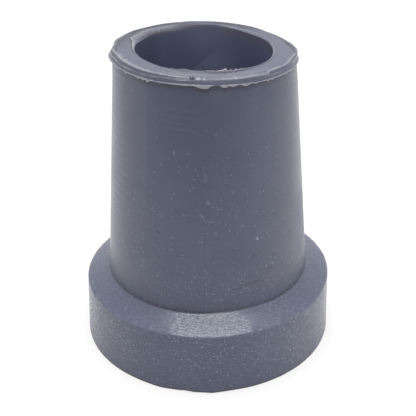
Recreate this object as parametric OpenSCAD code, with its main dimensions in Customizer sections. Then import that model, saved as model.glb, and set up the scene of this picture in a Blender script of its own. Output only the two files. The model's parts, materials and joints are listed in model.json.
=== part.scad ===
// Rubber cane tip: a tapered sleeve with a blind bore, on a wide round foot, moulded in one piece.
// Millimetres, +Z up, origin at the centre of the sole, on the floor. +X is the low side of the rim.

/* [Height] */
// Height from the floor to the rim, on the axis
tip_h = 45.5; // [40:0.5:60]
// Rubber left between the floor and the end of the bore
sole_t = 11.5; // [6:0.5:16]

/* [Bore] */
// Diameter of the bore: the outside of the cane tube that it grips
bore_d = 19; // [12:0.5:24]
// Radius of the corner at the blind end of the bore
bore_end_r = 1; // [0.3:0.1:3]
// Width of the bevel at the mouth of the bore
mouth_bevel = 0.4; // [0.1:0.05:0.8]

/* [Sleeve] */
// Wall of the sleeve at the rim
rim_wall = 3.35; // [2:0.05:5.5]
// Wall of the sleeve at its foot, where it meets the shoulder
foot_wall = 6; // [3.5:0.05:8]
// How far the trimmed rim is out of square, in degrees
rim_slant = 2; // [0:0.25:4]
// Width of the bevel round the outside of the rim
rim_bevel = 0.25; // [0.1:0.05:0.4]

/* [Parting flash] */
// Distance of the parting line below the rim
flash_drop = 0.8; // [0.75:0.05:3]
// Thickness of the flash at its root
flash_t = 0.3; // [0.15:0.05:0.4]
// How far the flash stands out from the sleeve
flash_reach = 0.35; // [0.15:0.05:0.6]
// How far the torn tongues of flash stand out from the sleeve
tongue_reach = 0.45; // [0.25:0.05:0.8]
// How far the longest torn tongue of flash hangs below the parting line
tongue_hang = 0.5; // [0.3:0.05:1]
// Width of the two fine grooves between the rim and the flash, which are half as deep
groove_w = 0.18; // [0.1:0.02:0.24]

/* [Foot] */
// Height of the foot's side wall
foot_h = 9.5; // [6:0.25:14]
// How far the foot stands out past the sleeve, at the floor
foot_reach = 3.9; // [2.5:0.1:8]
// How much smaller the foot's radius is at the top of its wall than at the floor
foot_draft = 0.35; // [0:0.05:1]
// Height of the sloped shoulder between the foot's edge and the sleeve
shoulder_rise = 1.65; // [0.8:0.05:4]
// Radius of the foot's top edge
foot_edge_r = 0.6; // [0.2:0.1:1.5]
// Radius of the foot's bottom edge
floor_edge_r = 0.25; // [0.2:0.05:1.5]
// Radius of the hollow corner between the shoulder and the sleeve
shoulder_fillet_r = 0.5; // [0.2:0.1:1.5]

/* [Sole] */
// Radius of the plain disc in the middle of the sole
tread_start_r = 5; // [3:0.5:8]
// Distance from one tread groove to the next
tread_pitch = 4; // [2.5:0.25:6]
// Width of each tread groove
tread_w = 1.4; // [0.6:0.1:2]
// Depth of each tread groove
tread_depth = 0.8; // [0.3:0.1:2]
// Least plain margin between the last groove and the edge of the sole
tread_margin = 3; // [1.5:0.5:5]

/* [Hidden] */
$fn = 128;
RUBBER = [0.36, 0.37, 0.43];

bore_r = bore_d / 2;
rim_r = bore_r + rim_wall;
sleeve_foot_r = bore_r + foot_wall;
floor_r = sleeve_foot_r + foot_reach;
foot_top_r = floor_r - foot_draft;
shoulder_z = foot_h + shoulder_rise;
sleeve_taper = (sleeve_foot_r - rim_r) / (tip_h - shoulder_z);

// Spare length that cuts and roots run past the surfaces that they meet
spare = 1.5;
// The body before its rim is trimmed reaches past the high side of the slanted cut
blank_h = tip_h + rim_r * tan(rim_slant) + spare;
blank_r = rim_r - sleeve_taper * (blank_h - tip_h);

// Torn tongues of flash: azimuth of the middle and width, in degrees, and share of tongue_hang
TONGUES = [
    [-143, 9, 0.5],
    [-126, 7, 0.7],
    [-90, 11, 1],
    [-78, 6, 0.9],
    [-66, 6, 0.8],
    [-50, 5, 0.5],
];

// A round corner at b, between the edges to a and c: its ends on both edges and its centre
function unit(v) = v / norm(v);
function half_angle(a, b, c) = acos(unit(a - b) * unit(c - b)) / 2;
function corner_start(a, b, c, r) = b + unit(a - b) * r / tan(half_angle(a, b, c));
function corner_end(a, b, c, r) = b + unit(c - b) * r / tan(half_angle(a, b, c));
function corner_centre(a, b, c, r) =
    b + unit(unit(a - b) + unit(c - b)) * r / sin(half_angle(a, b, c));

module disc_at(centre, r) {
    translate(centre) circle(r = r);
}

// Half section of the body, untrimmed and without its bore
module body_section() {
    axis_low = [0, 0];
    floor_edge = [floor_r, 0];
    foot_edge = [foot_top_r, foot_h];
    shoulder = [sleeve_foot_r, shoulder_z];
    blank_edge = [blank_r, blank_h];
    axis_high = [0, blank_h];
    difference() {
        union() {
            polygon([
                axis_low,
                corner_start(axis_low, floor_edge, foot_edge, floor_edge_r),
                corner_end(axis_low, floor_edge, foot_edge, floor_edge_r),
                corner_start(floor_edge, foot_edge, shoulder, foot_edge_r),
                corner_end(floor_edge, foot_edge, shoulder, foot_edge_r),
                corner_start(foot_edge, shoulder, blank_edge, shoulder_fillet_r),
                corner_end(foot_edge, shoulder, blank_edge, shoulder_fillet_r),
                blank_edge,
                axis_high,
            ]);
            disc_at(corner_centre(axis_low, floor_edge, foot_edge, floor_edge_r), floor_edge_r);
            disc_at(corner_centre(floor_edge, foot_edge, shoulder, foot_edge_r), foot_edge_r);
        }
        disc_at(
            corner_centre(foot_edge, shoulder, blank_edge, shoulder_fillet_r),
            shoulder_fillet_r
        );
    }
}

// Half section of the bore, with a round corner at its blind end
module bore_section() {
    polygon([
        [0, sole_t],
        [bore_r - bore_end_r, sole_t],
        [bore_r, sole_t + bore_end_r],
        [bore_r, blank_h + spare],
        [0, blank_h + spare],
    ]);
    disc_at([bore_r - bore_end_r, sole_t + bore_end_r], bore_end_r);
}

// Concentric grooves in the sole
module tread() {
    last_r = floor_r - tread_margin - tread_w;
    for (r = [tread_start_r : tread_pitch : last_r]) {
        rotate_extrude() translate([r, -spare]) square([tread_w, tread_depth + spare]);
    }
}

// Puts a shape in the frame of the slanted rim, whose face is then at z = 0
module at_rim() {
    translate([0, 0, tip_h]) rotate([0, rim_slant, 0]) children();
}

// What trimming the rim takes away: all above its face, and a bevel on both of its edges
module rim_trim() {
    above = blank_h - tip_h + 2 * spare;
    at_rim() rotate_extrude() polygon([
        [0, above],
        [rim_r + spare, above],
        [rim_r + spare, -rim_bevel - spare],
        [rim_r - rim_bevel, 0],
        [bore_r + mouth_bevel, 0],
        [bore_r - spare, -mouth_bevel - spare],
        [0, -mouth_bevel - spare],
    ]);
}

// Fine grooves round the rim: one under its bevel and one on top of the flash
module rim_grooves() {
    groove_r = groove_w / 2;
    for (drop = [rim_bevel + groove_r, flash_drop - flash_t / 2 - groove_r]) {
        at_rim() rotate_extrude() disc_at([rim_r + sleeve_taper * drop, -drop], groove_r);
    }
}

// Thin ring of flash at the parting line, thinner towards its edge
module flash_ring() {
    at_rim() rotate_extrude() polygon([
        [rim_r - spare, -flash_drop - flash_t / 2],
        [rim_r + flash_reach, -flash_drop - flash_t / 2],
        [rim_r + flash_reach, -flash_drop],
        [rim_r - rim_bevel, -flash_drop + flash_t / 2],
        [rim_r - spare, -flash_drop + flash_t / 2],
    ]);
}

// One torn tongue of flash, bent down from the ring
module tongue(azimuth, width, hang) {
    at_rim() rotate([0, 0, azimuth - width / 2]) rotate_extrude(angle = width) polygon([
        [rim_r - rim_bevel, -flash_drop + flash_t / 4],
        [rim_r - rim_bevel, -flash_drop - flash_t],
        [rim_r + tongue_reach - flash_t / 2, -flash_drop - flash_t / 2 - hang],
        [rim_r + tongue_reach, -flash_drop - hang],
        [rim_r + tongue_reach, -flash_drop - flash_t / 4],
    ]);
}

module flash() {
    flash_ring();
    for (t = TONGUES) tongue(t[0], t[1], tongue_hang * t[2]);
}

module rubber_tip() {
    color(RUBBER) {
        difference() {
            rotate_extrude() body_section();
            rotate_extrude() bore_section();
            rim_trim();
            rim_grooves();
            tread();
        }
        flash();
    }
}

rubber_tip();
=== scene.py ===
"""Rubber cane tip: how it looks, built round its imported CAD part.

Metres, +Z up, origin at the centre of the sole. Sizes with no unit in their name are in millimetres and
azimuths in degrees round the axis: 0 is +X, -90 is the front, 90 the back and 180 the high side of the rim.
"""

import functools
import json
import math

import bpy
import numpy as np
from mathutils import Matrix, Vector


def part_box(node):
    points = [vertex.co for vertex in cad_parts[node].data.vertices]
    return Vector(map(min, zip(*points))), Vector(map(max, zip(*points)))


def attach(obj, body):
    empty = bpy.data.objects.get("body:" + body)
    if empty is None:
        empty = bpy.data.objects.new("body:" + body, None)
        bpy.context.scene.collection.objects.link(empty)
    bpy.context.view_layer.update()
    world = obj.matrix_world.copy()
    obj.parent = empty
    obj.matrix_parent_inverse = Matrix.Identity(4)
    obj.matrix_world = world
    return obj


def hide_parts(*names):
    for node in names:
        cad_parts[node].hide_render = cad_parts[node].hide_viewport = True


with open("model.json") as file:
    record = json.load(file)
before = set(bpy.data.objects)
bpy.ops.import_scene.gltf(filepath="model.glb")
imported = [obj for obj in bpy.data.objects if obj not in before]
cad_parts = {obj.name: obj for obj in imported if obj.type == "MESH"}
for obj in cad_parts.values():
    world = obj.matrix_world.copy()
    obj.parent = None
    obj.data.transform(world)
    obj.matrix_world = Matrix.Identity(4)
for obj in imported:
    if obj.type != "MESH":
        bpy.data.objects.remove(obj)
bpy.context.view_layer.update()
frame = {"record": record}

MM = 0.001
NODE = "rubber_tip"

# ---- sizes that the frame gives
BORE = next(m for m in frame["record"]["mounts"] if m["name"] == "bore")
BORE_R = BORE["dims"]["r_mm"]
BORE_LOW = BORE["pos_m"][2] / MM - BORE["dims"]["length_mm"] / 2
BOX_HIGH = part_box(NODE)[1] / MM

# ---- sizes of the moulding
BORE_END_R = 1.0
RIM_WALL = 3.35
FOOT_WALL = 6.0
RIM_SLANT = 2.0         # in degrees
RIM_BEVEL = 0.25
FOOT_H = 9.5
FOOT_REACH = 3.9
FOOT_DRAFT = 0.35
SHOULDER_RISE = 1.65
FOOT_EDGE_R = 0.3
FLOOR_EDGE_R = 0.25
SHOULDER_FILLET_R = 0.15
TREAD_STARTS = (5.0, 9.0, 13.0)
TREAD_W = 1.4
TREAD_DEPTH = 0.8

RIM_R = BORE_R + RIM_WALL
SLEEVE_FOOT_R = BORE_R + FOOT_WALL
FLOOR_R = SLEEVE_FOOT_R + FOOT_REACH
FOOT_TOP_R = FLOOR_R - FOOT_DRAFT
SHOULDER_Z = FOOT_H + SHOULDER_RISE
SLANT = math.radians(RIM_SLANT)
TIP_H = BOX_HIGH.z - (RIM_R - RIM_BEVEL) * math.sin(SLANT)
TAPER = (SLEEVE_FOOT_R - RIM_R) / (TIP_H - SHOULDER_Z)

# ---- points in each ring
COARSE = 360
FINE = 3 * COARSE


# ======== shapes round the axis
def azimuths(count):
    """Azimuths of a ring's points, in degrees."""
    return np.arange(count) * 360.0 / count - 180.0


def round_values(azimuth, stops):
    """The value at each azimuth, in line between the stops, which go once round."""
    at, values = zip(*stops)
    return np.interp(azimuth, at, values, period=360)


def fine(stops):
    """The stops' value at each point of a fine ring."""
    return round_values(azimuths(FINE), stops)


def hump(azimuth, centre, width, steep=1.0):
    """1 at centre and 0 half a width in degrees away from it, with sides as steep as asked."""
    away = (azimuth - centre + 180.0) % 360.0 - 180.0
    return np.clip((1 - np.abs(away) / (width / 2)) * steep, 0, 1)


def ripple(azimuth, slowest, fastest, seed):
    """Unevenness round the axis, with slowest to fastest waves per turn and a spread of about 1."""
    rng = np.random.default_rng(seed)
    waves = np.arange(slowest, fastest + 1)
    size = rng.uniform(0.3, 1.0, len(waves)) / np.sqrt(waves)
    phase = rng.uniform(0, 2 * math.pi, len(waves))
    total = np.cos(np.radians(azimuth)[:, None] * waves + phase) @ size
    return total / math.sqrt((size ** 2).sum() / 2)


def softened(values, width):
    """Ring values averaged over a width in degrees, twice."""
    half = max(1, round(width / 2 * len(values) / 360))
    for _ in range(2):
        ends = np.concatenate([values[-half:], values, values[:half]])
        values = np.convolve(ends, np.full(2 * half + 1, 1 / (2 * half + 1)), "valid")
    return values


# ======== the skin and its rings
def add_object(name, data):
    """A new object in the scene."""
    obj = bpy.data.objects.new(name, data)
    bpy.context.scene.collection.objects.link(obj)
    return obj


class Skin:
    """One closed skin: rings of points from the middle of the sole, round the outside and down the bore."""

    LABELS = ("wear", "smear", "bore")  # how torn or scraped, how dirty or darkened by painted shade, and whether it is in the bore

    def __init__(self):
        self.points = []
        self.labels = {name: [] for name in self.LABELS}
        self.faces = []
        self.last = None
        self.total = 0

    def pole(self, height):
        """A single point on the axis, which opens or closes the skin."""
        self._add(np.array([[0.0, 0.0, height]]))

    def ring(self, radius, height, count=COARSE, **labels):
        """A ring round the axis. Radius, height and labels may differ round it."""
        a = np.radians(azimuths(count))
        height = np.broadcast_to(height, count)
        self._add(np.stack([radius * np.cos(a), radius * np.sin(a), height], 1), **labels)

    def drop(self, radius, drop, **labels):
        """A fine ring round the axis, at a drop below the slanted face."""
        x = radius * np.cos(np.radians(azimuths(FINE)))
        self.ring(radius, TIP_H - x * math.tan(SLANT) - drop, FINE, **labels)

    def rim(self, radius, height, wear=0.0, smear=0.0, bore=0.0):
        """A fine ring in the frame of the slanted rim, whose face is at height 0."""
        a = np.radians(azimuths(FINE))
        x = radius * np.cos(a)
        points = np.stack([
            x * math.cos(SLANT) + height * math.sin(SLANT),
            radius * np.sin(a),
            TIP_H - x * math.sin(SLANT) + height * math.cos(SLANT),
        ], 1)
        self._add(points, wear=wear, smear=smear, bore=bore)

    def _add(self, points, **labels):
        """Adds a ring and joins it to the last one."""
        self.points.append(points)
        for name, values in self.labels.items():
            values.append(np.broadcast_to(labels.get(name, 0.0), len(points)))
        old, new = self.last, np.arange(self.total, self.total + len(points))
        self.last = new
        self.total += len(points)
        if old is None:
            return
        if len(old) == 1:
            self.faces += [(old[0], b, a) for a, b in zip(new, np.roll(new, -1))]
        elif len(new) == 1:
            self.faces += [(a, b, new[0]) for a, b in zip(old, np.roll(old, -1))]
        elif len(old) == len(new):
            self.faces += list(zip(old, np.roll(old, -1), np.roll(new, -1), new))
        else:
            self._step(old, new)

    def _step(self, old, new):
        """Joins a coarse ring to a fine one with three times its points, either way round."""
        opens = len(new) > len(old)
        coarse, dense = (old, new) if opens else (new, old)
        for i, here in enumerate(coarse):
            there = coarse[(i + 1) % len(coarse)]
            a, b, c, d = (dense[(3 * i + k) % len(dense)] for k in range(4))
            faces = [(here, b, a), (here, there, c, b), (there, d, c)]
            self.faces += faces if opens else [face[::-1] for face in faces]

    def to_object(self, name):
        """The skin as a smooth mesh object, with its labels as attributes of its points."""
        mesh = bpy.data.meshes.new(name)
        mesh.from_pydata(np.concatenate(self.points) * MM, [], [tuple(map(int, f)) for f in self.faces])
        for name_of, values in self.labels.items():
            attribute = mesh.attributes.new(name_of, "FLOAT", "POINT")
            attribute.data.foreach_set("value", np.clip(np.concatenate(values), 0, 1))
        mesh.polygons.foreach_set("use_smooth", np.ones(len(mesh.polygons), bool))
        mesh.validate()
        return add_object(name, mesh)


def rounded(before, corner, after, radius, steps):
    """Points of the arc that rounds a corner, from the line to before to the line to after."""
    corner = np.array(corner, float)
    u, v = ((point - corner) / np.linalg.norm(point - corner) for point in (before, after))
    half = math.acos(u @ v) / 2
    centre = corner + (u + v) / np.linalg.norm(u + v) * radius / math.sin(half)
    start = corner + u * radius / math.tan(half) - centre
    end = corner + v * radius / math.tan(half) - centre
    turn = math.acos(start @ end / radius ** 2)
    return [
        centre + (math.sin((1 - t) * turn) * start + math.sin(t * turn) * end) / math.sin(turn)
        for t in np.linspace(0, 1, steps)
    ]


# ======== the foot
SOLE_EDGE = 0.06        # width of the small bevel on each edge of a tread groove


def add_sole(skin):
    """The sole, from its middle outwards, with its concentric tread grooves."""
    skin.pole(0.0)
    side = ((-SOLE_EDGE, 0.0), (0.0, SOLE_EDGE), (0.0, TREAD_DEPTH - SOLE_EDGE), (SOLE_EDGE, TREAD_DEPTH))
    for start in TREAD_STARTS:
        for out, height in side:
            skin.ring(start + out, height)
        for out, height in reversed(side):
            skin.ring(start + TREAD_W - out, height)


FOOT_LEAN = (0.12, 0.10)  # how far the floor's ring lies to the left and the front of the foot's top ring
FOOT_TILT = 0.25        # how much higher the foot's edge stands on the right than at the front
FOOT_TUCK = 0.02        # how far the foot's wall lies inside its plain radius
UNEVEN = 0.02           # how uneven the foot's wall and its top edge are
CHIPS = 0.05            # how deep the chips in its bottom edge are
SCRAPE = (-58, 44, 2)   # the hump where its top edge is scraped pale
SCRAPE_PALE = 0.4       # how pale it is there
CORNER_SHADE = 0.5      # how dark the corner at the sleeve's foot is painted, as shade
CORNER_LIFT = 0.15      # how much higher that corner stands right of the front
CORNER_LIFT_AT = (-74, 44, 1.6)  # the hump where it does
# How far the foot's bottom edge bulges, and how dark it is painted, as shade where it meets the floor
FLOOR_OUT = [
    (-180, 0), (-125, 0), (-118, 0.05), (-111, 0.16), (-106, 0.03), (-101, 0.02), (-97, 0.15), (-92, 0.18),
    (-89, 0.29), (-86, 0.2), (-82, 0.06), (-72, 0.03), (-60, 0),
]
FLOOR_EDGE_SHADE = [(-180, 1), (-150, 1), (-120, 0.7), (-90, 0.5), (-60, 0.6), (-30, 0.8), (0, 0.9)]


def foot_lean(a, share):
    """How much the foot's lean adds to the radius, for a share of 1 at the floor and 0 at the shoulder."""
    return -share * (FOOT_LEAN[0] * np.cos(np.radians(a)) + FOOT_LEAN[1] * np.sin(np.radians(a)))


def foot_tilt(a, share):
    """How much the tilted edge adds to the height, for a share of 1 at the foot's edge."""
    return FOOT_TILT * share * np.clip(np.cos(np.radians(a)), 0, 1)


def edge_waves(a):
    """How uneven the foot's top edge is."""
    return UNEVEN * ripple(a, 10, 80, 5)


def foot_edge(steps):
    """The rounded edge between the foot's wall and its shoulder."""
    return rounded((FLOOR_R, 0), (FOOT_TOP_R, FOOT_H), (SLEEVE_FOOT_R, SHOULDER_Z), FOOT_EDGE_R, steps)


def sleeve_corner(steps):
    """The hollow corner between the shoulder and the sleeve."""
    corner = (SLEEVE_FOOT_R, SHOULDER_Z)
    return rounded((FOOT_TOP_R, FOOT_H), corner, (RIM_R, TIP_H), SHOULDER_FILLET_R, steps)


def with_share(points):
    """Each point, after its share of the way from the first to the last."""
    return [(i / (len(points) - 1), *point) for i, point in enumerate(points)]


def add_foot(skin):
    """The foot's bottom edge, its bare side wall and its top edge."""
    a = azimuths(COARSE)
    uneven = UNEVEN * ripple(a, 2, 9, 3)
    chips = CHIPS * np.clip(ripple(a, 14, 60, 4) - 0.9, 0, 2)
    floor_edge = rounded((0, 0), (FLOOR_R, 0), (FOOT_TOP_R, FOOT_H), FLOOR_EDGE_R, 8)
    bulge = round_values(a, FLOOR_OUT)
    # the bottom edge is painted dark as shade, where it faces the object's shadow on the floor
    for share, r, z in with_share(floor_edge):
        out = foot_lean(a, 1) + bulge - chips * math.sin(share * math.pi) - share * FOOT_TUCK
        skin.ring(r + out, z, smear=round_values(a, FLOOR_EDGE_SHADE))
    top_edge = foot_edge(8)
    low, high = floor_edge[-1], top_edge[0]
    skin.ring(low[0] + foot_lean(a, 1) + bulge - FOOT_TUCK, low[1] + 0.15)
    for share in np.linspace(0, 1, 10)[1:-1]:
        r, z = low + share * (high - low)
        r = r + foot_lean(a, 1 - share) + bulge * (1 - share) ** 2 - FOOT_TUCK
        skin.ring(r + uneven * math.sin(share * math.pi), z + foot_tilt(a, share))
    scraped = SCRAPE_PALE * hump(a, *SCRAPE) * np.clip(ripple(a, 50, 160, 8), 0, 1.5)
    for share, r, z in with_share(top_edge):
        height = z + foot_tilt(a, 1) + edge_waves(a)
        skin.ring(r - FOOT_TUCK, height, wear=scraped * math.sin(share * math.pi))


def add_shoulder(skin):
    """The sloped shoulder, up to the sharp corner at the sleeve."""
    a = azimuths(COARSE)
    corner = sleeve_corner(7)
    start = foot_edge(2)[-1]
    for share in np.linspace(0, 1, 8)[1:-1]:
        r, z = start + share * (corner[0] - start)
        skin.ring(r, z + foot_tilt(a, 1 - share) + edge_waves(a) * (1 - share) ** 4)
    lift = CORNER_LIFT * hump(a, *CORNER_LIFT_AT)
    # the corner is painted dark as shade
    for share, r, z in with_share(corner):
        skin.ring(r, z + lift, smear=CORNER_SHADE * share)


# ======== the sleeve
SLEEVE_TOP_DROP = 2.6   # distance below the face at which the sleeve's fine rings start
# Heights above the corner at the sleeve's foot, and how dark the painted shade is there
CORNER_SHADE_STEPS = [(0.18, 0.4), (0.36, 0.12), (0.6, 0), (1.6, 0)]


def sleeve_r(height):
    """The sleeve's radius at a height."""
    return RIM_R + TAPER * (TIP_H - height)


def add_sleeve(skin):
    """The tapered sleeve, up to just below the flash."""
    corner_z = sleeve_corner(2)[-1][1]
    # painted shade, fading up the sleeve from the corner
    for rise, dark in CORNER_SHADE_STEPS:
        low = corner_z + rise
        skin.ring(sleeve_r(low), low, smear=dark)
    high = TIP_H - SLEEVE_TOP_DROP - 1.0
    for z in np.linspace(low, high, 15)[1:]:
        skin.ring(sleeve_r(z), z)


# ======== the flash and the band
# The rim's lines are stops of (azimuth, value). A drop is a distance below the cut face.
# Drops of the flash's lower and upper sides, and how far it reaches out
FLASH_LOW = [
    (-170, 1), (-156, 0.92), (-146, 0.86), (-136, 0.86), (-128, 0.9), (-110, 0.83), (-98, 0.77), (-70, 0.77),
    (-40, 0.8), (-20, 0.83), (0, 0.9), (90, 0.95), (170, 1.05),
]
FLASH_TOP = [
    (-174, 0.6), (-166, 0.66), (-158, 0.78), (-140, 0.72), (-120, 0.66), (-100, 0.57), (-70, 0.58),
    (-50, 0.63), (-15, 0.64), (90, 0.7), (172, 0.76),
]
FLASH_REACH = [
    (-178, 0.5), (-173, 0.5), (-168, 0.46), (-160, 0.32), (-150, 0.25), (-98, 0.23), (-85, 0.2), (-82, 0.1),
    (-80, 0.22), (-58, 0.24), (-20, 0.24), (-12, 0.32), (0, 0.3), (6, 0.2), (60, 0.2), (120, 0.25),
    (165, 0.4), (176, 0.48),
]
# How pale the torn edge of the flash is
FLASH_PALE = [
    (-175, 0.7), (-160, 0.75), (-124, 0.75), (-120, 0.45), (-98, 0.5), (-95, 0.75), (-87, 0.75), (-85, 0.1),
    (-81.5, 0.1), (-80, 0.85), (-77, 0.7), (-71.5, 0.7), (-70, 0.3), (-68, 0.75), (-57, 0.5), (-50, 0.7),
    (-20, 0.65), (0, 0.45), (120, 0.5),
]
# How far the thick root of the flash stands out at its two ends
FIN = [
    (-178, 0.24), (-173, 0.3), (-169, 0.24), (-164, 0.06), (-160, 0), (-14, 0), (-7, 0.08), (0, 0.14),
    (6, 0.1), (12, 0), (167, 0), (174, 0.2),
]
# How dark the sleeve is painted just below the flash: painted shadow under its overhang
FLASH_SHADOW = [
    (-150, 0.1), (-135, 0.3), (-118, 0.5), (-88, 0.45), (-72, 0.3), (-60, 0.1), (-40, 0), (180, 0),
]
# Tongues that hang below the flash: azimuth, width in degrees, length, steepness of their sides
TONGUES = [
    (-143, 3.6, 0.13, 1.5), (-131.3, 2.8, 0.17, 1.5), (-127.8, 2.6, 0.15, 1.5), (-124.3, 3.4, 0.21, 1.7),
    (-116, 3, 0.04, 1.5), (-92.6, 5.4, 0.2, 1.6), (-90.2, 6.4, 0.31, 2.4), (-78.6, 4.4, 0.2, 1.8),
    (-74, 4.2, 0.14, 1.6), (-66, 5.4, 0.22, 1.8), (-59.6, 3.6, 0.12, 1.6), (-51, 2.6, 0.17, 1.6),
    (-47.3, 4.6, 0.09, 1.6), (-34, 3, 0.05, 1.5), (-28, 4, 0.11, 1.5), (28, 9, 0.15, 1.6),
    (97, 12, 0.22, 1.6), (138, 7, 0.14, 1.6),
]
# The bead under the face's edge: how far outside RIM_R, and its drop
BEAD_OUT = [
    (-170, 0.08), (-150, 0.08), (-125, 0.05), (-100, 0), (-95, -0.05), (-50, -0.05), (-44, 0), (-12, 0),
    (-6, 0.09), (-2, 0.14), (3, 0.12), (9, 0), (90, -0.02), (175, 0.02),
]
BEAD_DROP = [
    (-172, 0.34), (-150, 0.3), (-128, 0.27), (-115, 0.2), (-104, 0.15), (-96, 0.12), (-72, 0.12),
    (-66, 0.07), (-56, 0.09), (-51, 0.16), (-46, 0.34), (-36, 0.34), (-30, 0.16), (-10, 0.12), (0, 0.12),
    (90, 0.1), (150, 0.12), (178, 0.25),
]
# How pale the band is between the flash and the bead
BAND_PALE = [
    (-176, 0.25), (-160, 0.25), (-140, 0.22), (-100, 0.24), (-70, 0.2), (-40, 0.2), (-26, 0.14), (-19, 0.3),
    (-10, 0.45), (0, 0.4), (10, 0.1), (20, 0), (165, 0),
]
# Depth of the groove between the bead and the face's edge
GROOVE = [
    (-176, 0.1), (-168, 0.16), (-135, 0.15), (-127, 0.22), (-118, 0.14), (-102, 0.1), (-97, 0), (-48, 0),
    (-45, 0.05), (-34, 0.05), (-30, 0), (178, 0),
]
# The face's outer edge: how far outside RIM_R, and how high it stands over the face
EDGE_OUT = [
    (-178, 0.1), (-172, 0.04), (-164, -0.28), (-150, -0.34), (-130, -0.32), (-124, -0.38), (-118, -0.52),
    (-106, -0.52), (-98, -0.62), (-96, -0.22), (-70, -0.16), (-52, -0.14), (-49, -0.16), (-46.5, -0.46),
    (-38, -0.46), (-34, -0.32), (-28, -0.28), (-18, -0.42), (-12, -0.24), (-8, 0), (-4, 0.18), (2, 0.16),
    (8, 0.02), (14, -0.08), (22, -0.32), (40, -0.38), (48, -0.14), (56, -0.07), (90, -0.03), (120, -0.02),
    (130, -0.06), (150, 0.02), (160, 0.03), (170, 0.12), (173, 0.08), (176, -0.05),
]
EDGE_RISE = [
    (-174, 0.05), (-160, 0.02), (-120, 0), (-97, 0), (-95, -0.06), (-60, -0.05), (-54, -0.1), (-50, -0.22),
    (-48, -0.2), (-46.5, 0), (-30, 0.03), (-10, 0.03), (-2, 0.12), (10, 0.06), (24, 0), (44, 0), (54, 0.09),
    (86, 0.14), (100, 0.14), (106, 0.07), (116, 0.08), (134, 0.03), (144, 0.08), (158, 0.06), (168, 0.15),
    (178, 0.06),
]
# Width of the pale torn strip inside that edge
STRIP = [
    (-174, 0.4), (-168, 0.45), (-165, 0.6), (-161, 0.95), (-158, 0.5), (-152, 0.75), (-149, 0.6),
    (-147, 0.95), (-143, 0.6), (-140, 0.9), (-135, 0.65), (-130, 0.7), (-124, 0.6), (-116, 0.4), (-100, 0.5),
    (-96, 0.9), (-60, 1), (-48, 0.6), (-30, 0.3), (-4, 0.35), (4, 0.5), (14, 0.7), (24, 0.5), (38, 0.5),
    (48, 0.8), (60, 1.2), (68, 1.1), (76, 0.7), (84, 0.4), (100, 0.3), (106, 0.6), (130, 0.55), (141, 0.7),
    (152, 0.9), (160, 0.7), (168, 0.6), (178, 0.6),
]
# How dark that strip is where it is not torn
STRIP_DARK = [
    (-178, 0.3), (-172, 0), (-4, 0), (2, 0.3), (16, 0.3), (30, 0), (48, 0.1), (60, 0.6), (80, 0.6),
    (90, 0.1), (100, 0.1), (106, 0.7), (140, 0.8), (156, 0.5), (170, 0.4),
]
# How pale that strip and edge are
STRIP_PALE = [
    (-172, 0.55), (-150, 0.55), (-140, 0.45), (-122, 0.5), (-117, 0.3), (-115, 0.55), (-112, 0.35),
    (-107, 0.6), (-103, 0.5), (-98, 0.35), (-94, 0.4), (-90, 0.25), (-80, 0.35), (-76, 0.45), (-60, 0.4),
    (-48, 0.35), (-44, 0.5), (-10, 0.55), (6, 0.3), (20, 0), (84, 0), (92, 0.2), (102, 0.2), (110, 0),
    (144, 0), (158, 0.4), (176, 0.5),
]
# Depth of the shallow groove inside the edge, which is also painted dark as shade in step with its depth
INNER_GROOVE = [
    (-176, 0.08), (-168, 0), (-8, 0), (-3, 0.07), (12, 0.08), (24, 0.02), (40, 0), (135, 0.03), (150, 0.05),
    (165, 0.08), (180, 0.09),
]
NICK = (-97.8, 4.4, 1.8)  # the hump of the nick in the front edge
NICK_IN = 0.12          # how far it reaches in from the edge
# How dark the edge is
DARK_EDGE = [(48, 0), (56, 0.6), (82, 0.5), (87, 0), (103, 0), (108, 0.6), (140, 0.75), (150, 0)]
# Pale spots along the front edge: azimuth, width in degrees, strength
SPOTS = [
    (-117.5, 2.4, 0.9), (-111.5, 5.5, 0.6), (-107, 3, 0.7), (-103.5, 2, 0.6), (-94, 3.8, 0.85),
    (-90.2, 2.2, 0.8), (-79, 3, 0.5), (-76, 3, 0.5), (-71, 1.8, 0.8), (-61, 4, 0.4), (-56, 3, 0.4),
]
ROOT_OUT = 0.10         # how far outside RIM_R the band starts, at the flash


def flash_hang(a):
    """How far the torn edge of the flash hangs below its line."""
    hang = 0.012 * np.clip(ripple(a, 40, 240, 11) + 0.4, 0, 3)
    for centre, width, depth, steep in TONGUES:
        edge = depth * (0.93 + 0.07 * ripple(a, 80, 240, 12))
        hang = np.maximum(hang, edge * hump(a, centre, width, steep))
    return hang


def add_flash(skin):
    """The thin flash at the parting line: out under it, round its torn edge and back over it."""
    a = azimuths(FINE)
    hang = flash_hang(a)
    low = fine(FLASH_LOW) + hang
    top = fine(FLASH_TOP)
    reach = fine(FLASH_REACH) * (1 + 0.08 * ripple(a, 20, 160, 13)) + 0.12 * hang
    pale = fine(FLASH_PALE)
    root = RIM_R + TAPER * low
    skin.drop(RIM_R + TAPER * SLEEVE_TOP_DROP, SLEEVE_TOP_DROP)
    # painted shadow on the sleeve below the flash, deeper under the tongues
    shadow = fine(FLASH_SHADOW) * (1 + 2.5 * np.clip(hang, 0, 0.3))
    for below, share in ((0.9, 0.0), (0.6, 0.3), (0.3, 1.0)):
        skin.drop(root + TAPER * below, low + below, smear=share * shadow)
    # the flash's underside, painted dark as shade
    skin.rim(root + 0.01, -low - 0.03, 0.0, 0.9)
    skin.rim(root + 0.03, -low + 0.05, 0.0, 0.9)
    skin.rim(root + reach * 0.9, -low, pale)
    skin.rim(root + reach, -low + 0.05, pale)
    skin.rim(root + reach * 0.88, -0.5 * (low + top), pale)
    skin.rim(root + reach * 0.55, -top - 0.04, 0.35 * pale)
    fin = fine(FIN)
    skin.rim(RIM_R + ROOT_OUT + fin, -top, 1.5 * fin)


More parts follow.
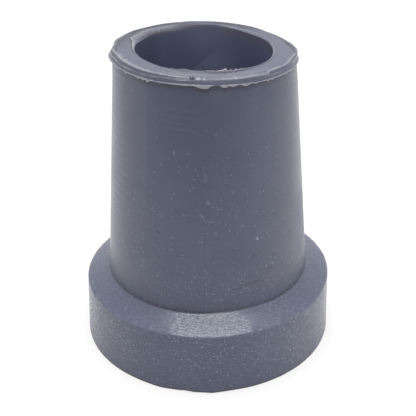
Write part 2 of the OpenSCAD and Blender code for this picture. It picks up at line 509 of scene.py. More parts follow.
def add_band(skin):
    """The band between the flash and the edge of the face, with its bead and the groove above that."""
    a = azimuths(FINE)
    top = fine(FLASH_TOP)
    fin = fine(FIN)
    bead_out = fine(BEAD_OUT) + 0.5 * fin
    bead = fine(BEAD_DROP)
    groove = fine(GROOVE)
    uneven = ripple(a, 6, 60, 21)
    grooved = np.clip(groove / 0.1, 0, 1)
    patches = grooved * np.clip(0.25 + 0.3 * ripple(a, 12, 50, 22), 0, 0.6)
    middle = 0.5 * (top + bead)
    light = fine(BAND_PALE)
    mottled = np.maximum(patches, light)
    skin.rim(RIM_R + ROOT_OUT - 0.02 + 0.9 * fin, -top + 0.05, light + fin)
    skin.rim(RIM_R + 0.4 * bead_out + 0.03 + 0.55 * fin, -middle, light + 0.5 * fin)
    skin.rim(RIM_R + bead_out + 0.01, -bead - 0.07 - 0.01 * uneven, mottled)
    skin.rim(RIM_R + bead_out - 0.03, -bead - 0.01, mottled)
    inside = RIM_R + bead_out - 0.08 * grooved - 0.05
    skin.rim(inside, -bead + 0.015 - 0.4 * groove, 0.5 * (patches + light))
    between = 0.5 * (bead_out - 0.1 + fine(EDGE_OUT))
    height = fine(EDGE_RISE) - 0.06 - np.maximum(groove + 0.5 * bead, 0.4 * bead)
    # partly painted shade: the groove ring is darker where the groove is deep; the edge's dark line and the
    # nick are added to it
    skin.rim(RIM_R + between, height, 0.0, np.maximum(0.4 * grooved + fine(DARK_EDGE), 0.8 * hump(a, *NICK)))


def add_edge(skin):
    """The edge of the face, pale where the knife tore it, and the strip inside it."""
    a = azimuths(FINE)
    torn = ripple(a, 40, 240, 31)
    rise = fine(EDGE_RISE)
    strip = fine(STRIP) * (1 + 0.12 * ripple(a, 30, 120, 33))
    strip_dark = fine(STRIP_DARK)
    nick = hump(a, *NICK)
    spots = np.zeros(FINE)
    for centre, width, strength in SPOTS:
        spots = np.maximum(spots, strength * hump(a, centre, width, 1.6))
    pale = np.maximum(fine(STRIP_PALE), spots) * (1 - nick)
    dark = np.maximum(fine(DARK_EDGE), nick)
    edge = RIM_R + fine(EDGE_OUT) + 0.012 * torn
    skin.rim(edge + 0.02, rise - 0.05 - 0.05 * nick, 0.5 * pale, dark)
    skin.rim(edge, rise - 0.05 * nick, 0.8 * pale, dark)
    skin.rim(edge - 0.06, rise + 0.01 * torn - 0.1 * nick, pale, dark)
    nicked = edge - 0.11 - 2 * NICK_IN * nick
    skin.rim(nicked, rise - 0.12 * nick, pale, np.maximum(nick, 0.3 * strip_dark))
    half = np.maximum(0.5 * strip, NICK_IN * nick + 0.14)
    skin.rim(edge - half, 0.6 * rise + 0.008 * ripple(a, 30, 200, 32), pale, strip_dark)
    groove = fine(INNER_GROOVE)
    strip = np.maximum(strip, half + 0.1)
    # the shallow groove is painted dark as shade, in step with its depth
    skin.rim(edge - strip, 0.1 * rise - groove, 0.5 * pale, np.maximum(7 * groove, 0.5 * strip_dark))
    skin.rim(edge - strip - 0.12, -0.3 * groove, 0.0, 5 * groove)


# ======== the rim's face and the mouth of the bore
# Radius of the mouth's outer line: a narrow lip on the right, a flare at the back and a flap on the left
MOUTH_EDGE = [
    (-177, 10.06), (-170, 9.98), (-158, 9.85), (-140, 9.78), (-127, 9.86), (-118, 9.78), (-110, 9.64),
    (-94, 9.62), (-88, 9.7), (-84, 9.86), (-70, 9.98), (-60, 9.9), (-20, 9.9), (0, 9.92), (11, 10.05),
    (23, 10.36), (33, 10.6), (40, 10.7), (50, 10.8), (60, 11.05), (70, 11.45), (78, 11.85), (86, 11.98),
    (104, 11.9), (110, 11.8), (116, 11.64), (122, 11.6), (127, 11.55), (128.6, 11.25), (130, 11.6),
    (134, 11.6), (140, 11.64), (144, 11.5), (148, 11.38), (156, 11.34), (161, 11.3), (163, 10.98),
    (166, 10.7), (168, 10.48), (175, 10.26),
]
# Drop of the mouth's inner line
MOUTH_FALL = [
    (-170, 0.14), (-130, 0.1), (-60, 0.08), (20, 0.1), (45, 0.12), (90, 0.12), (108, 0.3), (120, 0.22),
    (135, 0.18), (165, 0.16),
]
# Width and height of the raised lip along the mouth's outer line
LIP_WIDTH = [
    (-178, 0.35), (-168, 0.15), (-100, 0.1), (-60, 0.25), (-40, 0.26), (0, 0.26), (15, 0.3), (45, 0.5),
    (66, 0.5), (78, 0.2), (98, 0.1), (108, 0.25), (118, 0.5), (165, 0.5),
]
LIP_RISE = [
    (-178, 0.1), (-170, 0.06), (-160, 0), (-100, 0), (-40, 0.06), (20, 0.06), (60, 0.04), (90, 0),
    (120, 0.02), (130, 0.06), (163, 0.12), (170, 0.12),
]
# Radius at which the mouth turns down into the bore
MOUTH_INNER = [
    (-170, 9.77), (-150, 9.75), (-139, 9.68), (-127, 9.78), (-118, 9.7), (-112, 9.55), (-102, 9.6),
    (-94, 9.53), (-70, 9.56), (-53, 9.82), (-27, 9.69), (-17, 9.62), (-3, 9.58), (10, 9.66), (22, 9.84),
    (32, 9.9), (47, 9.95), (58, 10.25), (69, 10.76), (78, 11.35), (84, 11.6), (90, 11.7), (96, 11.6),
    (102, 11.25), (108, 10.8), (114, 10.4), (120, 10.2), (127, 10.25), (136, 10.25), (145, 10.1),
    (152, 9.95), (158, 9.85), (167, 9.85), (175, 9.8),
]
# How pale and how dark the mouth is, between its two lines
MOUTH_PALE = [
    (-178, 0.7), (-171, 0.5), (-167, 0.1), (-100, 0.1), (-60, 0.4), (-40, 0.3), (20, 0.15), (60, 0.25),
    (76, 0.3), (84, 0), (104, 0), (109, 0.22), (118, 0.4), (130, 0.42), (150, 0.45), (165, 0.45),
]
MOUTH_DARK = [
    (88, 0), (94, 0.35), (100, 0.65), (106, 0.55), (111, 0.4), (116, 0.4), (124, 0.45), (140, 0.4),
    (156, 0.2), (166, 0),
]
# How much the wall of the bore is bleached just below the mouth
BLEACH = [
    (48, 0), (62, 0.2), (78, 0.35), (90, 0.42), (100, 0.46), (112, 0.5), (120, 0.4), (130, 0.35),
    (150, 0.28), (162, 0.15), (170, 0),
]
BLEACH_DEPTH = 0.3      # depth in which that fades
FLAP_FALL = 0.2         # how far the flap curls down into the bore
# The humps where it curls, and where the mouth's lines are most ragged
FLAP_CURL = (135, 80, 2.5)
RAGGED_FLAP = (150, 60, 2)
RAGGED_FRONT = (-150, 60, 2)
RAGGED_INNER = (-143, 66, 2)
# Height of the burr that stands up round the front of the mouth
BURR = [
    (-118.5, 0), (-117, 0.07), (-115.5, 0.05), (-113, 0), (-111, 0.1), (-109, 0.1), (-107, 0.18),
    (-101, 0.1), (-97, 0.04), (-93, 0.08), (-90, 0.1), (-88, 0.19), (-85, 0.17), (-81, 0.17), (-77, 0.24),
    (-75, 0.36), (-73.4, 0.38), (-72.2, 0.05), (-71.2, 0.1), (-69.8, 0.24), (-68, 0.05), (-66.8, 0.1),
    (-65.2, 0.24), (-63.4, 0.08), (-62, 0.12), (-60.5, 0.18), (-58, 0.08), (-48, 0),
]
TRENCH_START = -93.0    # azimuth right of which a trench runs along the burr
LEAN_DEPTH = 12.0       # depth below the face at which the bore's leaning back wall meets its round wall
LEAN_STEPS = (0.06, 0.2, 0.35, 0.55, 0.8, 1.2, 2.2, 3.4, 5.0, 7.0, 9.4)  # depths of that wall's rings
# How pale and how dark the face is towards its outer edge
FACE_PALE = [(-140, 0), (-110, 0.28), (-90, 0.32), (-60, 0.3), (-40, 0.14), (-20, 0)]
FACE_DARK = [(-170, 0), (20, 0), (45, 0.3), (60, 0.7), (110, 0.8), (150, 0.7), (170, 0.3)]


def add_face(skin):
    """The face of the rim, cut flat."""
    outer = RIM_R + fine(EDGE_OUT) - fine(STRIP) - 0.3
    inner = np.minimum(fine(MOUTH_EDGE) + 0.35, outer - 0.03)
    pale = fine(FACE_PALE)
    dark = fine(FACE_DARK)
    for share in (0.0, 0.25, 0.5, 0.75, 1.0):
        skin.rim(outer + share * (inner - outer), 0.0, pale * (1 - 0.6 * share), dark * (1 - 0.7 * share))


def add_mouth(skin):
    """The mouth of the bore: a lip, a burr at the front, a flare at the back and a torn flap on the left."""
    a = azimuths(FINE)
    ragged = 0.01 + 0.05 * hump(a, *RAGGED_FLAP) + 0.03 * hump(a, *RAGGED_FRONT)
    edge = fine(MOUTH_EDGE) + ripple(a, 40, 200, 41) * ragged
    inner = fine(MOUTH_INNER) + 0.08 * hump(a, *RAGGED_INNER) * ripple(a, 30, 110, 43)
    inner = np.minimum(inner, edge - 0.1)
    fall = fine(MOUTH_FALL)
    rise = fine(LIP_RISE)
    dark = fine(MOUTH_DARK)
    burr = fine(BURR) * (1 + 0.08 * ripple(a, 60, 240, 42))
    trench = 0.5 * rise + 0.4 * burr * np.clip((a - TRENCH_START) / 7, 0, 1)
    width = edge - inner
    lip_width = np.minimum(fine(LIP_WIDTH), 0.7 * width)
    light = np.clip(np.maximum(fine(MOUTH_PALE), 12 * burr ** 2), 0, 1)
    shade = np.clip(10 * trench, 0, 0.85)
    skin.rim(edge + 0.16, -0.3 * trench, 0.0, 0.5 * shade)
    skin.rim(edge + 0.06, -trench, 0.0, shade)
    skin.rim(edge, rise + 0.5 * burr, np.clip(1.5 * light, 0, 1))
    skin.rim(edge - 0.4 * lip_width, rise + 0.02 + burr, light)
    skin.rim(edge - lip_width, 0.4 * rise - 0.1 * fall + burr, light, dark)
    curl = FLAP_FALL * hump(a, *FLAP_CURL)
    for share in (0.25, 0.5, 0.75, 0.9):
        radius = edge - lip_width - share * (width - lip_width)
        height = -fall * (0.1 + 0.5 * share) - curl * share ** 2 + burr * (1 - share)
        skin.rim(radius, height, light * (1 - share) ** 1.5, 2 * dark * share)
    bleach = fine(BLEACH)
    skin.rim(inner, -0.6 * fall - curl, bleach, 0.6 * dark, 0.3)
    spare = inner - BORE_R
    for depth in LEAN_STEPS:
        lean = spare
        if depth > LEAN_STEPS[0]:
            lean = softened(spare, 2 + 5 * depth) * (1 - depth / LEAN_DEPTH) ** 1.2
        drop = 0.6 * fall + curl + depth
        skin.drop(BORE_R + lean, drop, wear=bleach * math.exp(-depth / BLEACH_DEPTH), bore=1.0)


def add_bore(skin):
    """The bore's wall and its blind end."""
    skin.drop(BORE_R, LEAN_DEPTH, bore=1.0)
    high = TIP_H - LEAN_DEPTH - 1.0
    for share in np.linspace(0, 1, 8):
        skin.ring(BORE_R, high + share * (BORE_LOW - high), bore=1.0)
    floor_z = BORE_LOW - BORE_END_R
    corner = rounded((BORE_R, TIP_H), (BORE_R, floor_z), (0, floor_z), BORE_END_R, 7)
    for r, z in corner[1:]:
        skin.ring(r, z, bore=1.0)
    skin.pole(floor_z)


def make_tip():
    """The whole moulding as one closed skin."""
    skin = Skin()
    for add in (add_sole, add_foot, add_shoulder, add_sleeve, add_flash, add_band, add_edge, add_face,
                add_mouth, add_bore):
        add(skin)
    return skin.to_object("rubber_tip_moulding")


# ======== materials
class Tree:
    """Short calls for making shader nodes. Values and sockets are given by the socket's name or place."""

    def __init__(self, owner):
        owner.use_nodes = True
        self.tree = owner.node_tree
        self.tree.nodes.clear()

    def node(self, kind, inputs=None, **settings):
        node = self.tree.nodes.new("ShaderNode" + kind)
        for name, value in settings.items():
            setattr(node, name, value)
        for name, value in (inputs or {}).items():
            if isinstance(value, bpy.types.NodeSocket):
                self.tree.links.new(value, node.inputs[name])
            else:
                node.inputs[name].default_value = value
        return node

    def math(self, operation, *values, clamp=False):
        return self.node("Math", dict(enumerate(values)), operation=operation, use_clamp=clamp).outputs[0]

    def fold(self, operation, *values):
        return functools.reduce(functools.partial(self.math, operation), values)

    plus = functools.partialmethod(fold, "ADD")
    minus = functools.partialmethod(fold, "SUBTRACT")
    times = functools.partialmethod(fold, "MULTIPLY")
    least = functools.partialmethod(fold, "MINIMUM")
    greatest = functools.partialmethod(fold, "MAXIMUM")

    def remap(self, value, low, high, to_low=0.0, to_high=1.0, smooth=True):
        inputs = {"Value": value, "From Min": low, "From Max": high, "To Min": to_low, "To Max": to_high}
        steps = "SMOOTHSTEP" if smooth else "LINEAR"
        return self.node("MapRange", inputs, interpolation_type=steps).outputs["Result"]

    def noise(self, vector, scale, detail=2.0, rough=0.5):
        inputs = {"Vector": vector, "Scale": scale, "Detail": detail, "Roughness": rough}
        return self.node("TexNoise", inputs).outputs["Fac"]

    def mix(self, share, first, second):
        return self.node("Mix", {0: share, 6: first, 7: second}, data_type="RGBA").outputs[2]

    def vector(self, x, y, z):
        return self.node("CombineXYZ", {"X": x, "Y": y, "Z": z}).outputs[0]

    def vector_math(self, operation, first, second, output="Vector"):
        return self.node("VectorMath", {0: first, 1: second}, operation=operation).outputs[output]

    def position(self, output="Object"):
        return self.node("TexCoord").outputs[output]

    def label(self, name):
        return self.node("Attribute", attribute_name=name).outputs["Fac"]


RUBBER = (0.069, 0.076, 0.123, 1.0)
RUBBER_LIGHT = (0.085, 0.092, 0.142, 1.0)
# a deeper blue-grey: the scuff's colour, and the painted shade high on the sleeve's front
RUBBER_DEEP = (0.052, 0.058, 0.104, 1.0)
TORN = (0.35, 0.352, 0.388, 1.0)
# dark dirt, and also the colour of the painted shade in corners, grooves and under the flash
SMEAR_AND_SHADE = (0.032, 0.030, 0.034, 1.0)
DUST = (0.41, 0.43, 0.52, 1.0)
# painted light for the foot's sloping shoulder, which faces the light from above
SHOULDER_PAINTED_LIGHT = (0.18, 0.20, 0.27, 1.0)
BORE_DARK = (0.078, 0.091, 0.146, 1.0)
BORE_SIDE = (0.108, 0.124, 0.200, 1.0)
BORE_PALE = (0.165, 0.185, 0.280, 1.0)
BORE_WARM = (0.128, 0.124, 0.160, 1.0)
RUBBER_IOR = 1.5
CREASE_SLOPE = 1.29     # how far the crease in the bore's back wall goes to the right for each mm up
CREASE_FOOT = -52.2     # where its line would meet the sole's level, from the axis
FLASH_Z = (44.3, 43.3)  # the heights between which what belongs to the sleeve alone fades in
SCUFF_SHARE = 0.3       # how dark the scuffed right end of the sleeve is
MOTTLE = (0.2, 0.8)     # the range of the broad mottling's noise
ROUND_R = 15.0          # radius at which angles round the axis are turned into lengths

# Pale rubbed marks on the sleeve: degrees from the front (right is positive), height, half length and half
# width in mm, turn from level in degrees, strength
MARKS = [
    (-36.4, 42.6, 0.35, 0.12, 90, 0.1), (-29.7, 38.7, 0.3, 0.07, 95, 0.16),
    (-28.6, 37.2, 0.3, 0.09, 95, 0.14), (-23.6, 38.9, 0.14, 0.09, 0, 0.1), (-6.3, 38.4, 0.14, 0.09, 0, 0.12),
    (5.8, 38.2, 0.2, 0.12, 10, 0.16), (9.2, 38.4, 0.16, 0.09, 20, 0.1), (14.8, 39.2, 0.14, 0.1, 0, 0.08),
    (-36.9, 35.4, 0.12, 0.1, 0, 0.18), (-18.2, 35.5, 0.3, 0.14, 95, 0.2), (-10, 35.5, 0.22, 0.14, 160, 0.14),
    (-21.6, 34.5, 0.14, 0.1, 0, 0.12), (-25.8, 33.5, 0.24, 0.16, 150, 0.13),
    (-15.7, 32.8, 0.16, 0.11, 0, 0.14), (-1.2, 33.5, 0.2, 0.13, 0, 0.14), (-0.4, 32.5, 0.3, 0.13, 130, 0.13),
    (-0.6, 31.8, 0.28, 0.18, 90, 0.12), (9.8, 33.2, 0.3, 0.08, 110, 0.08), (32.5, 34.8, 0.16, 0.11, 0, 0.16),
    (37.2, 35, 0.24, 0.09, 60, 0.14), (37.8, 35.9, 0.3, 0.08, 30, 0.1), (25.7, 31.7, 0.2, 0.12, 0, 0.08),
    (-40.9, 31.6, 0.18, 0.12, 95, 0.18), (-52.6, 30, 0.14, 0.1, 0, 0.18), (-9.1, 30.2, 0.22, 0.12, 80, 0.18),
    (-7.4, 30.6, 0.16, 0.1, 40, 0.15), (3.9, 30.1, 0.16, 0.1, 90, 0.14), (-18.4, 29.4, 0.13, 0.11, 0, 0.26),
    (-33.4, 29, 0.15, 0.1, 150, 0.22), (15, 29.8, 0.3, 0.11, 30, 0.14), (21.8, 29.8, 0.2, 0.09, 45, 0.1),
    (31.3, 29, 0.16, 0.11, 0, 0.12), (0.8, 28.5, 0.32, 0.17, 125, 0.26), (7.8, 28.8, 0.17, 0.13, 90, 0.18),
    (5.5, 27.8, 0.18, 0.12, 150, 0.16), (-37.3, 27.3, 0.16, 0.11, 120, 0.2),
    (-20.1, 27.1, 0.26, 0.09, 125, 0.14), (-12.8, 26.5, 0.26, 0.16, 40, 0.12),
    (-24, 26.5, 0.2, 0.08, 150, 0.14), (-26.2, 25.9, 0.3, 0.08, 150, 0.18),
    (-38.1, 25.5, 0.12, 0.09, 0, 0.16), (-3, 26.6, 0.3, 0.14, 140, 0.22), (-1.6, 26.1, 0.2, 0.09, 130, 0.18),
    (16.2, 26.3, 0.32, 0.11, 50, 0.13), (1.1, 25.7, 0.34, 0.09, 0, 0.14), (6.6, 25.5, 0.28, 0.09, 160, 0.1),
    (19.8, 24.5, 0.26, 0.12, 35, 0.2), (28.6, 22, 0.26, 0.12, 135, 0.75), (34.1, 17.2, 0.22, 0.11, 50, 0.5),
    (38.4, 17.2, 0.16, 0.1, 0, 0.4), (19.5, 14.8, 0.18, 0.14, 0, 0.3), (21.8, 14.7, 0.14, 0.1, 0, 0.26),
]
# Dark scratches and pits, in the same form
SCRATCHES = [
    (-28, 23.3, 0.22, 0.09, 145, 0.8), (39, 18.6, 0.16, 0.08, 0, 0.6), (17, 14.8, 1.6, 0.08, 6, 0.35),
    (25.5, 15.3, 1.3, 0.08, 4, 0.4), (26.5, 14.9, 0.9, 0.06, 12, 0.3), (34.3, 16.9, 1, 0.09, 3, 0.4),
    (-16, 20.1, 2.9, 0.07, 4, 0.15), (10.4, 20.9, 2, 0.06, 2, 0.12), (-11.8, 38.4, 1.1, 0.1, -2, 0.07),
    (-15, 39.9, 1.4, 0.1, -2, 0.05), (-16, 40.9, 1.8, 0.1, -2, 0.05), (3.5, 37.9, 0.5, 0.12, 150, 0.15),
    (22, 28.1, 0.4, 0.08, 50, 0.12),
]
# Pale specks on the bore's wall, in the same form
BORE_MARKS = [(-115.5, 43.8, 0.16, 0.09, 110, 0.8), (-138.2, 41.8, 0.18, 0.1, 110, 0.9)]
# Slightly lighter level lines near the top, in the same form
STREAKS = [
    (-15.8, 38.8, 2.2, 0.14, -2, 0.02), (-16, 39.6, 1.8, 0.12, -2, 0.02), (-15.5, 40.5, 2.4, 0.12, -2, 0.02),
    (-14, 41.4, 2.6, 0.14, -2, 0.02),
]


class SkinPlace:
    """Where a point of the skin lies, as sockets. Lengths are in mm, and shares go from 0 to 1."""

    def __init__(self, t):
        self.point = t.vector_math("MULTIPLY", t.position(), (1 / MM,) * 3)
        self.x, y, self.z = t.node("SeparateXYZ", {0: self.point}).outputs
        self.wear, self.smear, self.inside = (t.label(name) for name in Skin.LABELS)
        self.outside = t.minus(1, self.inside)
        radius = t.math("SQRT", t.math("MULTIPLY_ADD", self.x, self.x, t.times(y, y)))
        # the way round from the front, and the skin unrolled: round it, and up or in along its level parts
        self.turn = t.times(t.math("ARCTAN2", self.x, t.times(y, -1)), ROUND_R)
        self.unrolled = t.vector(self.turn, t.minus(self.z, radius), 0)
        self.around = t.vector(self.turn, self.z, 1)
        # the foot's skin outside the sleeve, its sloping top, and the sleeve below the flash
        self.foot = t.math("GREATER_THAN", radius, SLEEVE_FOOT_R + 0.1)
        self.slope = t.times(t.remap(self.z, FOOT_H - 0.3, FOOT_H), self.foot)
        self.sleeve = t.times(t.minus(t.remap(self.z, *FLASH_Z), self.foot), self.outside)


def add_marks(t, spot, marks, edge):
    """The strength of the listed mark at each spot (x, y, 1), with an outline as soft as edge."""
    found = []
    for turn, height, length, width, slant, strength in marks:
        x = math.radians(turn) * ROUND_R
        cos, sin = math.cos(math.radians(slant)), math.sin(math.radians(slant))
        along = (cos / length, sin / length, -(x * cos + height * sin) / length)
        across = (-sin / width, cos / width, (x * sin - height * cos) / width)
        u = t.vector_math("DOT_PRODUCT", spot, along, "Value")
        v = t.vector_math("DOT_PRODUCT", spot, across, "Value")
        reach = t.math("MULTIPLY_ADD", v, v, t.times(u, u))
        found.append(t.remap(reach, (1 + edge) ** 2, (1 - edge) ** 2, 0, strength))
    return t.greatest(*found)


def add_dust(t, place, scale, small, large, amount):
    """Round specks: scale cells to a mm, radii from small to large, and amount the share of the cells."""
    dots = t.node("TexVoronoi", {"Vector": place, "Scale": scale}, voronoi_dimensions="2D")
    chance = t.node("SeparateColor", {0: dots.outputs["Color"]}).outputs
    chosen = t.math("LESS_THAN", chance["Red"], amount)
    size = t.math("MULTIPLY_ADD", chance["Green"], (large - small) * scale, small * scale)
    dot = t.math("SUBTRACT", 1, t.math("DIVIDE", dots.outputs["Distance"], size), clamp=True)
    full = t.math("MULTIPLY", dot, 2.5, clamp=True)
    level = t.times(chance["Blue"], chance["Blue"])
    level = t.math("MULTIPLY_ADD", level, 0.8, 0.2)
    return t.times(full, chosen, level)


def bore_colour(t, at):
    """The bore's wall: darker at its left and in the middle of its back, and warmer high on the right.

    Right of a crease, a fine dark line that runs down to the left, it is paler.
    """
    middle = t.times(t.remap(at.x, -4.5, -1.5), t.remap(at.x, 3.5, 1, 0, 0.55))
    ends = t.plus(t.remap(at.x, -5.5, -8), t.remap(at.x, 6, 8.5, 0, 0.15))
    colour = t.mix(t.plus(middle, ends), BORE_SIDE, BORE_DARK)
    warm = t.times(t.remap(at.z, 43.2, 45.4), t.remap(at.x, 1, 4))
    colour = t.mix(warm, colour, BORE_WARM)
    crease = t.math("MULTIPLY_ADD", at.z, -CREASE_SLOPE, t.minus(at.x, CREASE_FOOT))
    right = t.times(t.remap(crease, 0, 0.12), t.remap(at.x, 6.5, 3))
    colour = t.mix(t.times(right, t.remap(at.z, 43, 39.5, 0, 0.42)), colour, BORE_PALE)
    line = t.times(t.remap(t.math("ABSOLUTE", crease), 0.14, 0.03), t.remap(at.z, 41.7, 41.2, 0, 0.3))
    return t.mix(line, colour, SMEAR_AND_SHADE)


def clean_colour(t, at, mottle):
    """Clean rubber: mottled, with painted shade on the left of the sleeve's front, stronger higher up, and
    painted light on the foot's slope.
    """
    colour = t.mix(t.remap(mottle, *MOTTLE, smooth=False), RUBBER, RUBBER_LIGHT)
    # painted shade on the left of the sleeve's front, stronger higher up, where less light comes up from the
    # floor
    upper_shade = t.times(t.remap(at.turn, -9.9, -9.1), t.remap(at.turn, 4, -2))
    upper_shade = t.times(upper_shade, t.remap(at.z, 20, 34, 0.05, 0.28))
    colour = t.mix(upper_shade, colour, RUBBER_DEEP)
    colour = t.mix(at.inside, colour, bore_colour(t, at))
    # painted light on the foot's slope, strongest in front, for the light that falls on it from above
    pale = t.least(t.remap(at.turn, -6, 1, 0.27, 0.36), t.remap(at.turn, 7, 15, 0.36, 0.21))
    return t.mix(t.times(at.slope, pale), colour, SHOULDER_PAINTED_LIGHT)


def film_share(t, at):
    """A thin film of dust: on the right of the sleeve, and on both sides of the foot's wall."""
    sides = t.plus(t.remap(at.turn, 2, 14, 0, 0.065), t.remap(at.turn, -9, -15, 0, 0.03))
    wall = t.times(t.minus(at.foot, at.slope), sides)
    return t.plus(wall, t.times(at.sleeve, t.remap(at.turn, 3, 8, 0, 0.02)))


def scuff_share(t, at):
    """Where the right end of the sleeve is scuffed."""
    scuff = t.times(t.remap(at.turn, 14, 18), t.remap(at.z, 27, 23.5))
    return t.times(scuff, t.remap(at.z, 13.5, 16.5), at.sleeve)


def dust_amount(t, at, clumps):
    """The share of the specks that show: more towards the foot, on the right and high on the foot's wall."""
    low = t.plus(t.remap(at.z, 38, 23, 0.02, 0.14), t.remap(at.z, 20.5, 15, 0, 0.36))
    low = t.times(low, t.remap(at.turn, -6, 9, 0.85, 1.35))
    wall = t.plus(t.remap(at.z, 2, 5, 0.16, 0.62), t.remap(at.z, FOOT_H, FOOT_H + 0.6, 0, -0.45))
    wall = t.times(wall, t.remap(at.turn, 2, 12, 1, 1.8))
    heap = t.times(t.remap(at.turn, 3, 6), t.remap(at.turn, 12, 8), at.slope, 0.35)
    amount = t.plus(t.times(low, t.minus(1, at.foot)), t.times(t.plus(wall, heap), at.foot))
    return t.times(amount, clumps, at.outside)


def speck_level(t, at):
    """How bright fine specks are: more so on the foot, but not in front, near the floor or on the slope."""
    front = t.remap(at.turn, -12, -6, 0.4, 0.15)
    foot = t.greatest(front, t.remap(at.turn, 6, 12, 0.15, 0.5))
    foot = t.least(foot, t.remap(at.z, 0.5, 3, -0.1, 0.5))
    foot = t.times(foot, t.math("MULTIPLY_ADD", at.slope, -0.4, 1))
    return t.math("MULTIPLY_ADD", at.foot, foot, 0.5)


def dust_share(t, at, clumps):
    """Fine specks, larger flakes, the listed marks and streaks, and a few specks on the bore's wall."""
    amount = dust_amount(t, at, clumps)
    specks = add_dust(t, at.unrolled, 2.5, 0.05, 0.125, amount)
    flakes = add_dust(t, at.unrolled, 1.1, 0.10, 0.20, t.times(amount, 0.5))
    inner = add_dust(t, at.around, 0.9, 0.05, 0.09, t.times(at.inside, 0.12))
    inner = t.greatest(inner, t.times(add_marks(t, at.around, BORE_MARKS, 0.6), at.inside))
    marks = t.times(add_marks(t, at.around, MARKS, 0.5), 0.75, at.outside)
    dust = t.greatest(t.times(specks, speck_level(t, at)), t.times(flakes, 0.16), t.times(inner, 0.2), marks)
    return t.plus(dust, t.times(add_marks(t, at.around, STREAKS, 0.6), at.outside))


def dirt_share(t, at, clumps):
    """The listed scratches, and fine dark pits, more of them low down."""
    scratches = t.math("MULTIPLY", add_marks(t, at.around, SCRATCHES, 0.5), 1.6, clamp=True)
    amount = t.times(t.remap(at.z, 20, 12, 0.12, 0.5), clumps)
    shifted = t.vector_math("ADD", at.unrolled, (7.3, 3.1, 0))
    pits = t.times(add_dust(t, shifted, 2.2, 0.06, 0.13, amount), t.remap(at.z, 20, 12, 0.35, 0.8))
    return t.times(t.greatest(scratches, pits), at.outside)


def grain_noise(t, at):
    """Fine noise, drawn out round the foot."""
    even = t.vector_math("MULTIPLY", at.point, (4.5,) * 3)
    streaky = t.vector_math("MULTIPLY", at.unrolled, (1.7, 3.3, 1))
    choice = t.node("Mix", {"Factor": at.foot, 4: even, 5: streaky}, data_type="VECTOR")
    return t.noise(choice.outputs[1], 1, 3, 0.6)


def roughness(t, at, mottle, grain, torn, scuff):
    """Nearly even on the sleeve, grainy on the foot, rougher where it is torn, smeared, painted with shade
    or scuffed.
    """
    sleeve = t.times(t.remap(mottle, *MOTTLE, 0.26, 0.34, smooth=False), t.minus(1, at.foot))
    foot = t.times(t.remap(grain, 0.40, 0.62, 0.10, 0.45), at.foot)
    return t.plus(sleeve, foot, t.times(torn, 0.2), t.times(at.smear, 0.25), t.times(scuff, 0.08))


def relief(t, at, grain, ragged, torn):
    """Heights in metres: grain, coarser low down, level moulding lines at the sides, and torn places."""
    on_foot = t.math("MULTIPLY_ADD", at.foot, -0.3, 1)
    coarse = t.times(t.remap(at.z, 24, 12, 0.018 * MM, 0.05 * MM),
                     t.math("MULTIPLY_ADD", at.slope, -0.45, on_foot))
    lines = t.noise(t.vector_math("MULTIPLY", at.around, (0.05, 1.6, 1)), 1, 2, 0.5)
    left = t.remap(at.turn, -11.5, -16, 0.01 * MM, 0.09 * MM)
    side = t.times(t.plus(left, t.remap(at.turn, 12.5, 17, 0, 0.05 * MM)), at.outside)
    return t.plus(t.times(grain, coarse), t.times(lines, side), t.times(ragged, torn, 0.05 * MM))


def rubber_material():
    """Blue-grey rubber with dust, scratches and grain; torn rubber is paler, and smeared rubber and painted
    shade darker.
    """
    material = bpy.data.materials.new("rubber")
    t = Tree(material)
    at = SkinPlace(t)
    mottle = t.noise(at.point, 0.22, 2, 0.5)
    clumps = t.remap(t.noise(at.point, 0.35, 2, 0.6), 0.3, 0.7, 0.6, 1.4)
    grain = grain_noise(t, at)
    ragged = t.noise(at.point, 3.2, 3, 0.6)
    torn = t.times(at.wear, t.math("MULTIPLY_ADD", ragged, 1.2, 0.4))
    torn = t.remap(torn, 0.1, 1, smooth=False)
    scuff = scuff_share(t, at)
    colour = clean_colour(t, at, mottle)
    for share, layer in (
        (film_share(t, at), DUST),
        (t.times(scuff, SCUFF_SHARE), RUBBER_DEEP),
        (dust_share(t, at, clumps), DUST),
        (dirt_share(t, at, clumps), SMEAR_AND_SHADE),
        (torn, TORN),
        # dirt, and painted shade in corners, grooves, under the flash and along the bottom edge
        (at.smear, SMEAR_AND_SHADE),
    ):
        colour = t.mix(share, colour, layer)
    rough = roughness(t, at, mottle, grain, torn, scuff)
    height = relief(t, at, grain, ragged, torn)
    bump = t.node("Bump", {"Height": height, "Distance": 1, "Strength": 1}).outputs[0]
    inputs = {"Base Color": colour, "Roughness": rough, "IOR": RUBBER_IOR, "Normal": bump}
    t.node("OutputMaterial", {"Surface": t.node("BsdfPrincipled", inputs).outputs[0]})
    return material


# ======== studio
WHITE = (1.0, 1.0, 1.0, 1.0)
FLOOR_SIZE = 1.2        # in metres, as the level, the fade and the lamp's sizes are
FLOOR_LEVEL = -0.00002
SHEET_COLOUR = (0.86, 0.86, 0.86, 1.0)
SHEET_FRONT_SHADE = (0.30, 0.30, 0.30, 1.0)  # its colour in front, painted darker as shade, which the rubber reflects
SHEET_FADE = (-0.06, -0.22)  # from where to where, in y, its colour changes
SHEET_SEEN = (0.9, 0.9, 0.9, 1.0)  # its colour as the camera sees it
SHEET_GLOW = 0.7        # the share of that which is plain white


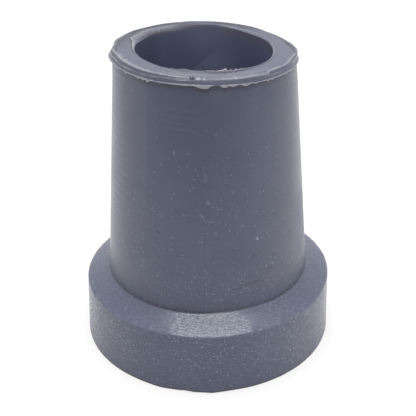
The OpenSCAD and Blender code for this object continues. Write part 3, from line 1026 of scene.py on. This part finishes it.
def add_floor():
    """A pale sheet, painted darker in front as shade, which the camera sees nearly white with the object's
    shadow on it.
    """
    half = FLOOR_SIZE / 2
    mesh = bpy.data.meshes.new("floor")
    corners = [(-half, -half), (half, -half), (half, half), (-half, half)]
    mesh.from_pydata([(x, y, FLOOR_LEVEL) for x, y in corners], [], [(0, 1, 2, 3)])
    floor = add_object("floor", mesh)
    material = bpy.data.materials.new("pale_sheet")
    t = Tree(material)
    y = t.node("SeparateXYZ", {0: t.position()}).outputs["Y"]
    # painted shade on the sheet in front, which only the rubber's reflections see
    colour = t.mix(t.remap(y, *SHEET_FADE), SHEET_COLOUR, SHEET_FRONT_SHADE)
    seen = t.node("LightPath").outputs["Is Camera Ray"]
    colour = t.mix(seen, colour, SHEET_SEEN)
    diffuse = t.node("BsdfDiffuse", {"Color": colour}).outputs[0]
    glow = t.node("Emission", {"Color": WHITE, "Strength": 1.0}).outputs[0]
    surface = t.node("MixShader", {0: t.times(seen, SHEET_GLOW), 1: diffuse, 2: glow}).outputs[0]
    t.node("OutputMaterial", {"Surface": surface})
    mesh.materials.append(material)


# Strength of the light from the sides, the front and above, and how much stronger it is from the right. Each
# sets in over a range of the direction that light comes from, in y, z and x.
SIDE_LIGHT = 1.0
FRONT_LIGHT = 0.45
FRONT_FADE = (-0.75, -0.1)
HIGH_LIGHT = 0.7
HIGH_FADE = (0.3, 0.8)
RIGHT_LIGHT = 1.15
RIGHT_FADE = (0.2, 0.9)


def add_world():
    """Plain studio light from all round, which the camera sees as white."""
    world = bpy.data.worlds.new("studio")
    bpy.context.scene.world = world
    t = Tree(world)
    x, y, z = t.node("SeparateXYZ", {0: t.position("Generated")}).outputs
    level = t.remap(y, *FRONT_FADE, FRONT_LIGHT, SIDE_LIGHT)
    high = t.remap(z, *HIGH_FADE)
    level = t.plus(t.times(level, t.minus(1.0, high)), t.times(high, HIGH_LIGHT))
    level = t.times(level, t.remap(x, *RIGHT_FADE, 1.0, RIGHT_LIGHT))
    level = t.greatest(level, t.node("LightPath").outputs["Is Camera Ray"])
    background = t.node("Background", {"Color": WHITE, "Strength": level}).outputs[0]
    t.node("OutputWorld", {"Surface": background})


BOX_HEIGHT = 0.42       # in metres
BOX_HALF_ANGLE = (16.8, 22.0)  # how wide and how deep it looks from the floor
BOX_RADIANCE = 5.35
BOX_LEFT = 0.0025       # how far left of the axis its middle is, in metres


def add_softbox():
    """A soft lamp straight above, which makes the bright patch on the foot's slope."""
    light = bpy.data.lights.new("softbox", "AREA")
    light.shape = "RECTANGLE"
    light.size, light.size_y = (2 * BOX_HEIGHT * math.tan(math.radians(a)) for a in BOX_HALF_ANGLE)
    light.energy = BOX_RADIANCE * math.pi * light.size * light.size_y
    add_object("softbox", light).location = (-BOX_LEFT, 0, BOX_HEIGHT)


CAMERA_PLACE = (0.167, -116.82, 83.78)  # in millimetres
CAMERA_PITCH = 28.64    # degrees below level
CAMERA_ROLL = -0.82
IMAGE_SIZE = 416
FOCAL_PIXELS = 861.7


def add_camera():
    """The photograph's camera."""
    data = bpy.data.cameras.new("camera")
    data.sensor_width = 36.0
    data.lens = FOCAL_PIXELS / IMAGE_SIZE * data.sensor_width
    data.clip_start = 0.005
    camera = add_object("camera", data)
    look_down = Matrix.Rotation(math.radians(90 - CAMERA_PITCH), 4, "X")
    roll = Matrix.Rotation(math.radians(CAMERA_ROLL), 4, "Z")
    camera.matrix_world = Matrix.Translation(Vector(CAMERA_PLACE) * MM) @ look_down @ roll
    bpy.context.scene.camera = camera


# ======== the scene
add_camera()
add_world()
add_softbox()
add_floor()

tip = make_tip()
tip.data.materials.append(rubber_material())
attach(tip, "root")
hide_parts(NODE)

bpy.context.scene.view_settings.view_transform = "Standard"
